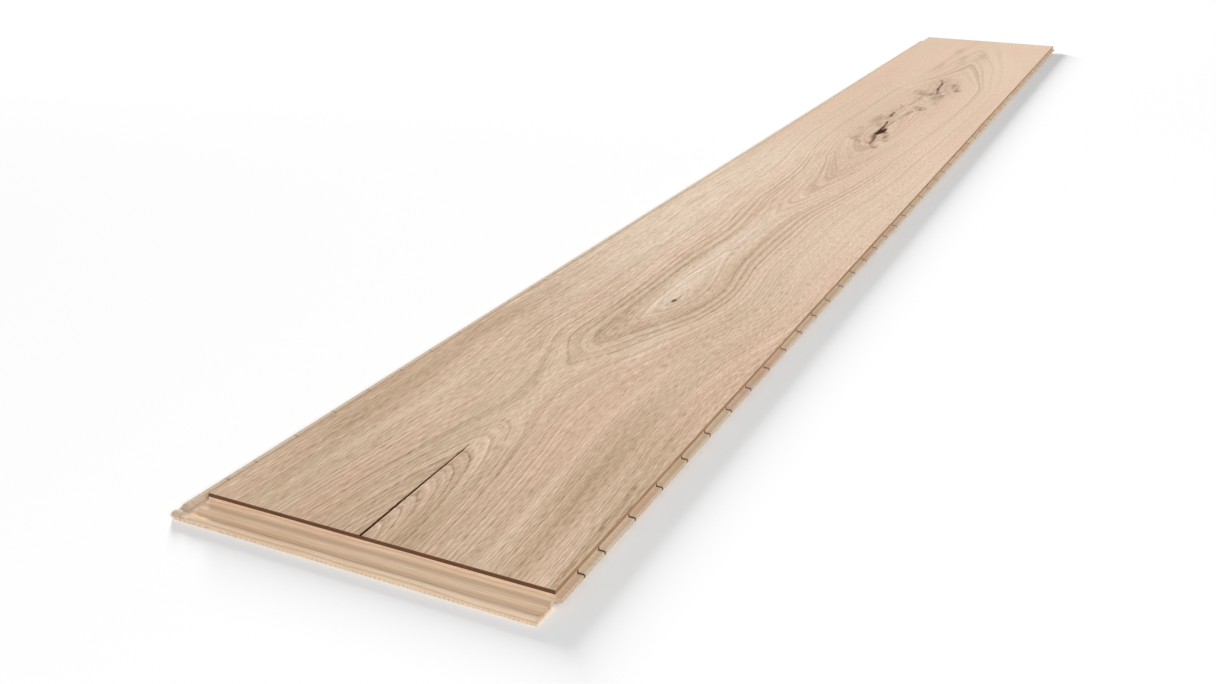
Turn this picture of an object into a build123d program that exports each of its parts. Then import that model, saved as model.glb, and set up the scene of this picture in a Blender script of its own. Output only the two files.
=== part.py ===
"""Three-layer oak floorboard with click edges, lying flat with its oak face up.

All sizes are millimetres. X runs across the board, Y along it, Z up. The near end
is the one with the long lower lip, the left long side has the groove and the right
long side has the tongue. The middle of the underside of the whole board is at zero.
"""
import os

from build123d import *

# Whole board
board_length = 2200.0
board_width = 255.0

# Layers
oak_thickness = 2.5
core_thickness = 7.0
back_thickness = 1.5
board_thickness = oak_thickness + core_thickness + back_thickness
edge_bevel = 0.5

# Crosswise core slats with open saw gaps between them
slat_gap = 1.2
end_slat_pitch = 28.3
regular_slats = 47

# Room left between the two halves of each click edge
fit_clearance = 0.2

# Left long side, lower lip with a locking ridge, and groove above the lip
long_lip_reach = 12.9
ridge_top_width = 3.3
ridge_slope_run = 2.5
ridge_height = 1.7
ridge_edge = 0.6
groove_depth = 5.2
groove_height = 3.3
upper_lip_thickness = 1.7

# Right long side
tongue_reach = 4.5
tongue_rounding = 0.9

# Near end lower lip, distances out from the oak edge and down from the oak
end_lip_reach = 21.3
end_lip_inset = 1.0
shelf_start_drop = 1.9
shelf_bend = 4.0
shelf_bend_drop = 2.7
shelf_edge = 9.5
shelf_edge_drop = 3.3
hollow_start = 12.5
hollow_start_drop = 5.1
hollow_end = 15.0
hollow_end_drop = 5.3
nose_ridge_start = 17.5
nose_ridge_end = 19.5
nose_ridge_drop = 4.1
nose_edge_drop = 5.1

# Far end, where the tongue stops short of the oak edge
tongue_stop = 12.5

# Places that follow from the sizes above
oak_left = (long_lip_reach - board_width - tongue_reach) / 2
oak_right = oak_left + board_width
lip_left = oak_left - long_lip_reach
tongue_right = oak_right + tongue_reach
near_edge = (end_lip_reach - board_length) / 2
far_edge = near_edge + board_length
nose_front = near_edge - end_lip_reach
oak_floor = board_thickness - oak_thickness
lip_pocket_left = oak_right - long_lip_reach - fit_clearance
end_pocket_near = far_edge - end_lip_reach - fit_clearance
lip_right = oak_right - end_lip_inset
groove_roof = oak_floor - upper_lip_thickness
groove_floor = groove_roof - groove_height
ridge_top = groove_floor + ridge_height


def along_y(points, start, end):
    """Solid with the given X and Z section between two places along the board."""
    plane = Plane(origin=(0, end, 0), x_dir=(1, 0, 0), z_dir=(0, -1, 0))
    face = plane * Polygon(*points, align=None)
    return extrude(face, amount=end - start, dir=plane.z_dir)


def along_x(points, start, end):
    """Solid with the given Y and Z section between two places across the board."""
    plane = Plane(origin=(start, 0, 0), x_dir=(0, 1, 0), z_dir=(1, 0, 0))
    face = plane * Polygon(*points, align=None)
    return extrude(face, amount=end - start, dir=plane.z_dir)


def block(x_start, x_end, y_start, y_end, z_start, z_end):
    """Plain box between two opposite corners."""
    size = (x_end - x_start, y_end - y_start, z_end - z_start)
    middle = ((x_start + x_end) / 2, (y_start + y_end) / 2, (z_start + z_end) / 2)
    return Pos(*middle) * Box(*size)


def long_lip_points():
    """Top line of the left lower lip, from its outer edge in to the oak edge."""
    ridge_inner = lip_left + ridge_edge + ridge_top_width
    return [
        (lip_left, ridge_top - ridge_edge),
        (lip_left + ridge_edge, ridge_top),
        (ridge_inner, ridge_top),
        (ridge_inner + ridge_slope_run, groove_floor),
        (oak_left, groove_floor),
    ]


def end_lip_points():
    """Top line of the near end lower lip, from the oak edge out to the nose."""
    outline = [
        (0, shelf_start_drop),
        (shelf_bend, shelf_bend_drop),
        (shelf_edge, shelf_edge_drop),
        (hollow_start, hollow_start_drop),
        (hollow_end, hollow_end_drop),
        (nose_ridge_start, nose_ridge_drop),
        (nose_ridge_end, nose_ridge_drop),
        (end_lip_reach, nose_edge_drop),
    ]
    return [(near_edge - out, oak_floor - drop) for out, drop in outline]


def tongue(start, end):
    """Rounded tongue on the right long side between two places along the board."""
    low = groove_floor + fit_clearance
    high = groove_roof - fit_clearance
    root = oak_right - tongue_reach
    strip = block(root, tongue_right, start, end, low, high)
    nose = strip.edges().filter_by(Axis.Y).group_by(Axis.X)[-1]
    return fillet(nose, tongue_rounding)


def body(start, end):
    """Core material below the oak between two places, without tongue and lips."""
    return block(oak_left, oak_right, start, end, back_thickness, oak_floor)


def groove(start, end):
    """Room for the neighbour's tongue in the left long side."""
    deep = oak_left + groove_depth
    return block(oak_left - 1, deep, start, end, groove_floor, groove_roof)


def long_lip(start, end):
    """Left lower lip with its locking ridge, above the back veneer."""
    points = long_lip_points()
    points += [(oak_left, back_thickness), (lip_left, back_thickness)]
    return along_y(points, start, end)


def lip_pocket(start, end):
    """Room under the tongue side for the neighbour's lower lip and ridge."""
    floor = groove_floor + fit_clearance
    top = ridge_top + fit_clearance
    ridge_inner = lip_pocket_left + ridge_edge + ridge_top_width + 2 * fit_clearance
    points = [
        (lip_pocket_left, -1),
        (lip_pocket_left, top),
        (ridge_inner, top),
        (ridge_inner + ridge_slope_run, floor),
        (oak_right + 1, floor),
        (oak_right + 1, -1),
    ]
    return along_y(points, start, end)


def end_pocket():
    """Room under the far end for the neighbour's end lip."""
    points = [(y + board_length, z + fit_clearance) for y, z in end_lip_points()]
    last_height = points[-1][1]
    first_height = points[0][1]
    points[-1] = (end_pocket_near, last_height)
    points += [(end_pocket_near, -1), (far_edge + 1, -1), (far_edge + 1, first_height)]
    return along_x(points, lip_left - 1, tongue_right + 1)


def end_lip():
    """Near end lower lip with its shelf, hollow and nose, above the back veneer."""
    points = end_lip_points()
    points += [(nose_front, back_thickness), (near_edge, back_thickness)]
    lip = along_x(points, lip_left, lip_right)
    points = long_lip_points()
    points += [(oak_left, board_thickness), (lip_left - 1, board_thickness)]
    points += [(lip_left - 1, points[0][1])]
    return lip - along_y(points, nose_front - 1, near_edge)


def plain_slat(start, end):
    """Core slat away from the two ends."""
    slat = body(start, end) - groove(start, end) - lip_pocket(start, end)
    return slat + tongue(start, end) + long_lip(start, end)


def near_slat(end):
    """First core slat, which carries the near end lip."""
    return plain_slat(near_edge, end) + end_lip()


def far_slat(start):
    """Last core slat, cut away below for the neighbour's end lip."""
    slat = body(start, far_edge) - groove(start, far_edge) - lip_pocket(start, far_edge)
    slat += tongue(start, far_edge - tongue_stop)
    slat -= end_pocket()
    if end_pocket_near > start:
        slat += long_lip(start, end_pocket_near)
    return slat


def oak_layer():
    """Oak top layer with a small bevel around its face."""
    layer = block(oak_left, oak_right, near_edge, far_edge, oak_floor, board_thickness)
    rim = layer.faces().sort_by(Axis.Z)[-1].edges()
    return chamfer(rim, edge_bevel)


def back_layer():
    """Thin bottom layer, following the outline of the underside."""
    main = block(lip_left, lip_pocket_left, nose_front, end_pocket_near, 0, back_thickness)
    return main + block(lip_pocket_left, lip_right, nose_front, near_edge, 0, back_thickness)


def slat_edges():
    """Places of the middles of the saw gaps, from the near end to the far end."""
    inner_start = near_edge + 2 * end_slat_pitch
    inner_end = far_edge - 2 * end_slat_pitch
    pitch = (inner_end - inner_start) / regular_slats
    edges = [near_edge + end_slat_pitch]
    edges += [inner_start + i * pitch for i in range(regular_slats + 1)]
    edges += [far_edge - end_slat_pitch]
    return edges


os.makedirs("parts", exist_ok=True)

oak = oak_layer()
oak.color = Color(0.76, 0.64, 0.51)
oak.label = "oak_wear_layer"
export_step(oak, "parts/oak_wear_layer.step")

back = back_layer()
back.color = Color(0.83, 0.71, 0.52)
back.label = "back_veneer"
export_step(back, "parts/back_veneer.step")

edges = slat_edges()
half_gap = slat_gap / 2
slats = [near_slat(edges[0] - half_gap)]
for start, end in zip(edges[:-1], edges[1:]):
    slats.append(plain_slat(start + half_gap, end - half_gap))
slats.append(far_slat(edges[-1] + half_gap))

for number, slat in enumerate(slats, start=1):
    name = f"core_slat_{number:02d}"
    slat.color = Color(0.87, 0.74, 0.55)
    slat.label = name
    export_step(slat, f"parts/{name}.step")
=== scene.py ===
"""Looks of a wide oak floorboard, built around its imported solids.

Lengths are metres in the frame of the solids: X across the board, Y along it and Z
up. The oak face is on top and the end with the long lower lip is at low Y. Places on
the oak face are also given in millimetres from its near left corner, as across, to
the right, and along, towards the far end.
"""
import logging
import math
from dataclasses import dataclass
from enum import Enum, IntEnum
from functools import reduce
from typing import Dict, List, Sequence, Tuple, Union

import bpy
import numpy as np
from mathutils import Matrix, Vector

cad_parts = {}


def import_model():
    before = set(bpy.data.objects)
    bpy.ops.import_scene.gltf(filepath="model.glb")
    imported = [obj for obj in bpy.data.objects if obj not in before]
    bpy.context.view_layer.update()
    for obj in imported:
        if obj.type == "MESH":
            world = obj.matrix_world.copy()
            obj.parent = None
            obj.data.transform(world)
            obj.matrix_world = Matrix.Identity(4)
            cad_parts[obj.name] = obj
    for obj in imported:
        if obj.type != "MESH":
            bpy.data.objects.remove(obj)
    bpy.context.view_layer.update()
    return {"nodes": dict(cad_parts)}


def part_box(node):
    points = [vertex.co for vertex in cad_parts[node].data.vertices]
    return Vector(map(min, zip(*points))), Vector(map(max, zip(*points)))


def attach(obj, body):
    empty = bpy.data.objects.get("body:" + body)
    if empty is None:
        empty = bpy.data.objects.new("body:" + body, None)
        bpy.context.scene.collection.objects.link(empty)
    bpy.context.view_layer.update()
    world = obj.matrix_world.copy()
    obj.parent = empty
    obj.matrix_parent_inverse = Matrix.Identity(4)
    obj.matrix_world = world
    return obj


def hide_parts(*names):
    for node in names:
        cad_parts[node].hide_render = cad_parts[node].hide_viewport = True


LOG = logging.getLogger("floorboard")
MM = 0.001
# Lengths of the slats along the board in millimetres: two at each end, and the rest
END_SLAT = 28.3
SLAT = 44.4
# Name under which the marks are stored with the oak face
MARKS = "marks"
WHITE = (1.0, 1.0, 1.0, 1.0)
NUMBER = "NodeSocketFloat"
VECTOR = "NodeSocketVector"
COLOUR = "NodeSocketColor"
# What an input can get: a constant, or a value of the shader tree
Source = Union[float, Sequence[float], "Value"]
# Places across and along the board, and ramps as two places and the value at each
Place = Tuple[float, float]
Triple = Tuple[float, float, float]
Ramp = Tuple[float, float, float, float]
Tone = Triple
# How strongly rings show, by slow random values
UNEVEN: Ramp = (0.3, 0.7, 0.35, 1.0)


def linear(tone: Tone) -> Tuple[float, float, float, float]:
    """Turn a colour as seen on a screen into the values that shading uses.

    Args:
        tone: Red, green and blue from 0 to 255.

    Returns:
        The linear colour with full alpha.
    """
    shares = [c / 255 for c in tone]
    flat = [c / 12.92 if c <= 0.04045 else ((c + 0.055) / 1.055) ** 2.4 for c in shares]
    return (flat[0], flat[1], flat[2], 1.0)


class Value:
    """A number, vector or colour in a shader tree. Each sum with it adds a node."""

    def __init__(self, graph: "Graph", socket: bpy.types.NodeSocket) -> None:
        """Keep the tree's helper and the output that holds the value."""
        self.graph, self.socket = graph, socket

    def __add__(self, other: Source) -> "Value":
        """Add a number."""
        return self.graph.math("ADD", self, other)

    def __sub__(self, other: Source) -> "Value":
        """Take a number away."""
        return self.graph.math("SUBTRACT", self, other)

    def __rsub__(self, other: float) -> "Value":
        """Take this number from another."""
        return self.graph.math("SUBTRACT", other, self)

    def __mul__(self, other: Source) -> "Value":
        """Multiply by a number."""
        return self.graph.math("MULTIPLY", self, other)

    def __truediv__(self, other: Source) -> "Value":
        """Divide by a number."""
        return self.graph.math("DIVIDE", self, other)

    def __pow__(self, power: float) -> "Value":
        """Raise to a power."""
        return self.graph.math("POWER", self, power)

    def __abs__(self) -> "Value":
        """Drop the sign."""
        return self.graph.math("ABSOLUTE", self)

    def times_plus(self, factor: Source, more: Source) -> "Value":
        """Multiply by one number and add another."""
        return self.graph.math("MULTIPLY_ADD", self, factor, more)

    def limited(self, factor: float) -> "Value":
        """Multiply by a number and keep the result from 0 to 1."""
        return self.graph.math("MULTIPLY", self, factor, clamp=True)

    def larger(self, other: Source) -> "Value":
        """Take the larger of two numbers."""
        return self.graph.math("MAXIMUM", self, other)

    def spread(
        self, low: Source, high: Source, start: Source = 0.0, end: Source = 1.0
    ) -> "Value":
        """Map a range of values smoothly onto another and stop at its ends.

        Args:
            low: Value that gives the start.
            high: Value that gives the end.
            start: Result at low.
            end: Result at high.

        Returns:
            The mapped value.
        """
        node = self.graph.add("ShaderNodeMapRange", interpolation_type="SMOOTHSTEP")
        return self.graph.fill(node, self, low, high, start, end)


class Graph:
    """Short ways to add nodes to one shader tree."""

    def __init__(self, tree: bpy.types.NodeTree) -> None:
        """Keep the tree that the nodes go into."""
        self.tree = tree

    def add(self, kind: str, **settings: object) -> bpy.types.Node:
        """Add one node.

        Args:
            kind: Blender's name for the kind of node.
            settings: Properties to set on it.

        Returns:
            The node.
        """
        node = self.tree.nodes.new(kind)
        for name, value in settings.items():
            setattr(node, name, value)
        return node

    def feed(self, socket: bpy.types.NodeSocket, source: Source) -> None:
        """Link an input to a value of the tree, or set it.

        Args:
            socket: The input to fill.
            source: What it gets.
        """
        if isinstance(source, Value):
            self.tree.links.new(source.socket, socket)
        else:
            socket.default_value = source

    def fill(self, node: bpy.types.Node, *sources: Source) -> Value:
        """Fill the inputs of a node.

        Args:
            node: The node.
            sources: What its inputs get, in order.

        Returns:
            Its first output.
        """
        for socket, source in zip(node.inputs, sources):
            self.feed(socket, source)
        return Value(self, node.outputs[0])

    def read(self, kind: str, output: str, **settings: object) -> Value:
        """Add a node that needs no inputs.

        Args:
            kind: Blender's name for the kind of node.
            output: Which of its outputs is wanted.
            settings: Properties to set on it.

        Returns:
            That output.
        """
        return Value(self, self.add(kind, **settings).outputs[output])

    def math(self, operation: str, *sources: Source, clamp: bool = False) -> Value:
        """Combine numbers.

        Args:
            operation: The Math node's operation.
            sources: Its inputs in order.
            clamp: Whether the result stays between 0 and 1.

        Returns:
            The result.
        """
        node = self.add("ShaderNodeMath", operation=operation, use_clamp=clamp)
        return self.fill(node, *sources)

    def vector(self, operation: str, *sources: Source) -> Value:
        """Combine vectors.

        Args:
            operation: The Vector Math node's operation.
            sources: Its inputs in order.

        Returns:
            The resulting vector, or number for a product or a length.
        """
        node = self.add("ShaderNodeVectorMath", operation=operation)
        self.fill(node, *sources)
        single = operation in ("DOT_PRODUCT", "LENGTH")
        return Value(self, node.outputs["Value" if single else "Vector"])

    def scaled(self, vector: Source, factor: Source) -> Value:
        """Scale a vector by a number.

        Args:
            vector: The vector.
            factor: The number.

        Returns:
            The scaled vector.
        """
        node = self.add("ShaderNodeVectorMath", operation="SCALE")
        self.feed(node.inputs["Scale"], factor)
        return self.fill(node, vector)

    def joined(self, x: Source, y: Source, z: Source = 0.0) -> Value:
        """Join three numbers into a vector."""
        return self.fill(self.add("ShaderNodeCombineXYZ"), x, y, z)

    def parts(self, vector: Source) -> List[Value]:
        """Split a vector into its three numbers."""
        node = self.add("ShaderNodeSeparateXYZ")
        self.fill(node, vector)
        return [Value(self, output) for output in node.outputs]

    def noise(self, vector: Source, detail: float = 2.0, rough: float = 0.5) -> Value:
        """Smooth random values, one unit of the vector to a feature.

        Args:
            vector: Where to read them.
            detail: How many finer layers are added.
            rough: How strong the finer layers are.

        Returns:
            Values around one half.
        """
        node = self.add("ShaderNodeTexNoise", noise_dimensions="3D")
        node.inputs["Scale"].default_value = 1.0
        node.inputs["Detail"].default_value = detail
        node.inputs["Roughness"].default_value = rough
        return self.fill(node, vector)

    def patches(
        self,
        x: Value,
        y: Value,
        size: Tuple[Source, Source],
        layer: Source = 0.0,
        detail: float = 2.0,
        rough: float = 0.5,
    ) -> Value:
        """Lay smooth random patches over a surface.

        Args:
            x: The shaded point's first place.
            y: Its second place.
            size: The patches' size in both directions.
            layer: Which of many patterns is read.
            detail: How many finer layers are added.
            rough: How strong the finer layers are.

        Returns:
            Values around one half.
        """
        return self.noise(self.joined(x / size[0], y / size[1], layer), detail, rough)

    def hill(self, across: Value, along: Value, middle: Place, reach: Place) -> Value:
        """Make a soft round hill.

        Args:
            across: The shaded point's place across the board.
            along: Its place along the board.
            middle: Where the hill's top is, across and along.
            reach: How far the hill reaches, across and along.

        Returns:
            1 at the top, falling to 0 around it.
        """
        a = (along - middle[1]) / reach[1]
        b = (across - middle[0]) / reach[0]
        return self.math("EXPONENT", (a * a + b * b) * -1.0)

    def blend(self, share: Source, first: Source, second: Source) -> Value:
        """Blend two colours.

        Args:
            share: How much of the second.
            first: First colour.
            second: Second colour.

        Returns:
            The blended colour.
        """
        node = self.add("ShaderNodeMix", data_type="RGBA")
        self.feed(node.inputs[0], share)
        self.feed(node.inputs[6], first)
        self.feed(node.inputs[7], second)
        return Value(self, node.outputs[2])

    def tinted(self, colour: Source, shade: Value) -> Value:
        """Make a colour darker or lighter by a factor."""
        return self.vector("MULTIPLY", colour, self.joined(shade, shade, shade))

    def curve(self, value: Source, stations: Sequence[Place]) -> Value:
        """Follow a smooth line through given points.

        Args:
            value: Where along the line, from 0 to 1.
            stations: The line's points, both numbers from 0 to 1.

        Returns:
            The line's height there.
        """
        node = self.add("ShaderNodeFloatCurve")
        points = node.mapping.curves[0].points
        points[0].location = stations[0]
        points[1].location = stations[-1]
        for place in stations[1:-1]:
            points.new(*place)
        node.mapping.update()
        self.feed(node.inputs["Value"], value)
        return Value(self, node.outputs[0])

    def seen(self) -> Value:
        """Tell the rays that make the picture, with its reflections, from other light."""
        path = self.add("ShaderNodeLightPath")
        camera, glossy, through = (
            Value(self, path.outputs[f"Is {kind} Ray"])
            for kind in ("Camera", "Glossy", "Transmission")
        )
        return camera.larger(glossy).larger(through)


def emptied(owner: Union[bpy.types.Material, bpy.types.World]) -> Graph:
    """Give a material or world an empty tree.

    Args:
        owner: The material or world.

    Returns:
        Its tree, without any node.
    """
    owner.use_nodes = True
    owner.node_tree.nodes.clear()
    return Graph(owner.node_tree)


class Effect:
    """A shader node group with named inputs and outputs, built once."""

    name = "effect"
    takes: Dict[str, Tuple[str, object]] = {}
    gives: Dict[str, str] = {}

    def __init__(self) -> None:
        """Make the group, its sockets and its nodes."""
        self.group = bpy.data.node_groups.new(self.name, "ShaderNodeTree")
        for title, (kind, value) in self.takes.items():
            socket = self.group.interface.new_socket(
                name=title, in_out="INPUT", socket_type=kind
            )
            socket.default_value = value
        for title, kind in self.gives.items():
            self.group.interface.new_socket(name=title, in_out="OUTPUT", socket_type=kind)
        graph = Graph(self.group)
        inner = graph.add("NodeGroupInput")
        outer = graph.add("NodeGroupOutput")
        given = {title: Value(graph, inner.outputs[title]) for title in self.takes}
        for title, source in self.build(graph, given).items():
            graph.feed(outer.inputs[title], source)

    def build(self, graph: Graph, given: Dict[str, Value]) -> Dict[str, Value]:
        """Add the group's nodes.

        Args:
            graph: The group's tree.
            given: The group's inputs by name.

        Returns:
            A source for each output.
        """
        raise NotImplementedError

    def place(self, graph: Graph, **values: Source) -> Dict[str, Value]:
        """Use the group in a material.

        Args:
            graph: The material's tree.
            values: Inputs to fill, with underscores for spaces.

        Returns:
            The group's outputs by name.
        """
        node = graph.add("ShaderNodeGroup", node_tree=self.group)
        for title, source in values.items():
            graph.feed(node.inputs[title.replace("_", " ")], source)
        return {title: Value(graph, node.outputs[title]) for title in self.gives}


@dataclass(frozen=True)
class HeartFigure:
    """How the growth rings of the oak strip lie, as places along the board.

    Attributes:
        heart: Where the middle of the figure runs across the board, in millimetres.
        depth: How far the pith lies below the face there, in millimetres.
        tip_push: How pointed the arches are, in millimetres.
        tip_reach: How far from their middle the arches bend, in millimetres.
        tip_round: How wide the round stretch at their tips is, in millimetres.
        sway: How far the rings sway aside, in millimetres.
        sway_size: How far apart the sways lie, across and along.
        ripple: How far the rings ripple, in millimetres.
        ripple_size: How far apart the ripples lie, across and along.
        swells: Knots that push the rings apart, each as along, across, reach along,
            reach across and push, in millimetres.
    """

    heart: Tuple[Place, ...] = (
        (0, 119), (200, 118), (345, 115), (400, 123), (450, 131), (500, 134), (600, 129),
        (700, 130), (800, 128), (900, 134), (1000, 138), (1100, 134), (1300, 135),
        (1400, 139), (1500, 141), (1600, 142), (1700, 151), (1800, 152), (1900, 146),
        (2050, 134), (2200, 126),
    )
    depth: Tuple[Place, ...] = (
        (0, 78), (50, 81), (100, 84.5), (150, 88), (215, 92), (300, 87), (345, 80),
        (400, 75.5), (450, 72), (500, 70.5), (600, 73.5), (700, 75), (780, 73.5),
        (850, 69.5), (1000, 62), (1100, 54), (1200, 45.5), (1400, 43.5), (1600, 47),
        (1650, 56), (1700, 68), (1750, 75), (1800, 79), (1900, 85), (2000, 92), (2200, 103),
    )
    tip_push: float = 5.9
    tip_reach: float = 24.0
    tip_round: float = 4.0
    sway: float = 6.0
    sway_size: Place = (60.0, 260.0)
    ripple: float = 1.7
    ripple_size: Place = (9.0, 45.0)
    swells: Tuple[Tuple[float, float, float, float, float], ...] = (
        (1257, 132, 75, 20, -16),
        (1600, 141, 95, 24, -14),
        (470, 134, 26, 7, -5),
        (1447, 147, 24, 9, -5),
        (-30, 124, 165, 26, -17),
    )


class RingFigure(Effect):
    """Where a place on the oak face lies among the growth rings."""

    name = "oak_ring_figure"
    takes = {"Across": (NUMBER, 0.0), "Along": (NUMBER, 0.0)}
    gives = {"Rings": NUMBER}

    def __init__(self, figure: HeartFigure, length: float, width: float) -> None:
        """Keep the figure and make the group.

        Args:
            figure: How the rings lie.
            length: The oak face's length in millimetres.
            width: Its width in millimetres.
        """
        self.figure, self.length, self.width = figure, length, width
        super().__init__()

    def build(self, graph: Graph, given: Dict[str, Value]) -> Dict[str, Value]:
        """Add the figure's nodes, with small waves in the rings."""
        figure, across, along = self.figure, given["Across"], given["Along"]
        sway = graph.patches(across, along, figure.sway_size, detail=1.0) - 0.5
        ripple = graph.patches(across, along, figure.ripple_size, 3.0) - 0.5
        share = along / self.length
        heart, depth = self.line(share, figure.heart), self.line(share, figure.depth)
        off = across - heart + sway * figure.sway
        off_square = off * off
        rings = graph.math("SQRT", depth.times_plus(depth, off_square))
        size = graph.math("SQRT", off_square + figure.tip_round ** 2)
        size = graph.math("EXPONENT", size / -figure.tip_reach)
        tip = math.exp(-figure.tip_round / figure.tip_reach) - size
        rings = tip.times_plus(figure.tip_push, rings) + ripple * figure.ripple
        for y, x, reach_along, reach_across, push in figure.swells:
            swell = graph.hill(across, along, (x, y), (reach_across, reach_along))
            rings = swell.times_plus(push, rings)
        return {"Rings": rings}

    def line(self, share: Value, stations: Sequence[Place]) -> Value:
        """Follow one of the figure's lines.

        Args:
            share: Place along the board from 0 to 1.
            stations: The line's points in millimetres.

        Returns:
            The line's value in millimetres.
        """
        points = [(a / self.length, b / self.width) for a, b in stations]
        return share.graph.curve(share, points) * self.width


class Streak(Effect):
    """A soft or sharp mark from one place to another."""

    name = "grain_streak"
    takes = {
        "Point": (VECTOR, (0.0, 0.0, 0.0)),
        "Start": (VECTOR, (0.0, 0.0, 0.0)),
        "End": (VECTOR, (1.0, 0.0, 0.0)),
        "Start Width": (NUMBER, 1.0),
        "End Width": (NUMBER, 1.0),
        "Softness": (NUMBER, 0.5),
    }
    gives = {"Mask": NUMBER}

    def build(self, graph: Graph, given: Dict[str, Value]) -> Dict[str, Value]:
        """Add the nodes that measure how near the point is to the mark's middle line."""
        start, end, softness = given["Start Width"], given["End Width"], given["Softness"]
        run = graph.vector("SUBTRACT", given["End"], given["Start"])
        gone = graph.vector("SUBTRACT", given["Point"], given["Start"])
        reached = graph.vector("DOT_PRODUCT", gone, run)
        whole = graph.vector("DOT_PRODUCT", run, run)
        share = graph.math("DIVIDE", reached, whole, clamp=True)
        aside = graph.vector("SUBTRACT", gone, graph.scaled(run, share))
        away = graph.vector("LENGTH", aside)
        width = share.times_plus(end - start, start)
        inner, outer = width * (1.0 - softness), width * (softness + 1.0)
        return {"Mask": away.spread(inner, outer, 1.0, 0.0)}


class Fibres(Effect):
    """Fine short fibres and pores along one direction."""

    name = "wood_fibres"
    takes = {
        "Across": (NUMBER, 0.0),
        "Along": (NUMBER, 0.0),
        "Height": (NUMBER, 0.0),
        "Width": (NUMBER, 0.5),
        "Length": (NUMBER, 12.0),
    }
    gives = {"Fibre": NUMBER, "Pore": NUMBER}

    def build(self, graph: Graph, given: Dict[str, Value]) -> Dict[str, Value]:
        """Add stretched noise for the fibres and a sharper one for the pores."""
        x, z = given["Across"] / given["Width"], given["Height"] / given["Width"]
        place = graph.joined(x, given["Along"] / given["Length"], z)
        fibre = graph.noise(place, 3.0, 0.6)
        moved = graph.vector("ADD", place, (31.7, 12.9, 5.3))
        pore = graph.noise(moved, 1.0, 0.4).spread(0.57, 0.72)
        return {"Fibre": fibre, "Pore": pore}


class ToneDrift(Effect):
    """Slow change of a wood's colour over its surface."""

    name = "wood_tone_drift"
    takes = {
        "Colour": (COLOUR, (0.5, 0.5, 0.5, 1.0)),
        "Other": (COLOUR, (0.5, 0.5, 0.5, 1.0)),
        "Across": (NUMBER, 0.0),
        "Along": (NUMBER, 0.0),
        "Across Size": (NUMBER, 40.0),
        "Along Size": (NUMBER, 400.0),
        "Amount": (NUMBER, 0.5),
    }
    gives = {"Colour": COLOUR}

    def build(self, graph: Graph, given: Dict[str, Value]) -> Dict[str, Value]:
        """Add a slow noise that blends the two colours."""
        size = given["Across Size"], given["Along Size"]
        share = graph.patches(given["Across"], given["Along"], size, 7.0).spread(0.35, 0.65)
        share = share * given["Amount"]
        return {"Colour": graph.blend(share, given["Colour"], given["Other"])}


class SlatRings(Effect):
    """Growth rings of a softwood slat, round a pith that lies beside it."""

    name = "softwood_rings"
    takes = {
        "Across": (NUMBER, 0.0),
        "Along": (NUMBER, 0.0),
        "Height": (NUMBER, 0.0),
        "Seed": (NUMBER, 0.0),
        "Ring Width": (NUMBER, 2.6),
    }
    gives = {"Late Wood": NUMBER, "Slow": NUMBER}
    pith_span = 150.0
    pith_depths = (9.0, 53.0)
    sway = 7.0
    sway_size = (70.0, 30.0)

    def build(self, graph: Graph, given: Dict[str, Value]) -> Dict[str, Value]:
        """Add bands that darken slowly and end sharply, as late wood does."""
        across, along, seed = given["Across"], given["Along"], given["Seed"]
        sway = graph.patches(across, along, self.sway_size, seed * 17.0) - 0.5
        shallow, deep = self.pith_depths
        y = along + (seed - 0.5) * self.pith_span + sway * self.sway
        z = given["Height"] + seed.times_plus(deep - shallow, shallow)
        turn = graph.math("SQRT", y * y + z * z) / given["Ring Width"]
        phase = graph.math("FRACT", turn)
        late = phase.spread(0.35, 0.93) * phase.spread(0.99, 0.93)
        slow = graph.noise(graph.joined(turn / 3.0, 0.0, seed))
        return {"Late Wood": late, "Slow": slow}


@dataclass(frozen=True)
class Effects:
    """The shader groups that the materials share.

    Attributes:
        rings: Growth rings of the oak.
        streak: One long mark.
        fibres: Fibres and pores.
        drift: Slow change of tone.
        slat_rings: Growth rings of the softwood.
    """

    rings: RingFigure
    streak: Streak
    fibres: Fibres
    drift: ToneDrift
    slat_rings: SlatRings


class Mark(Enum):
    """What a mark on the oak face is."""

    SPLIT = "open or filled split"
    STAIN = "brown stain around a knot"
    PALE = "pale wood beside a knot"


@dataclass(frozen=True)
class Blemish:
    """One split, stain or pale patch of the oak face.

    Attributes:
        kind: What it is.
        path: Its middle line, as places across and along in millimetres.
        width: Half its width in millimetres.
        end_width: Half its width where the path ends.
        strength: How much it colours the wood.
        depth: How deep it lies in the face, in millimetres.
        stretch: How much longer it is along the board.
    """

    kind: Mark
    path: Tuple[Place, ...]
    width: float
    end_width: float
    strength: float = 1.0
    depth: float = 0.0
    stretch: float = 1.0


CRACK = Blemish(
    Mark.SPLIT, ((119.6, -3), (117.4, 70), (116.2, 122), (115.6, 135)), 1.0, 0.3, 1.0, 0.35
)

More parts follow.
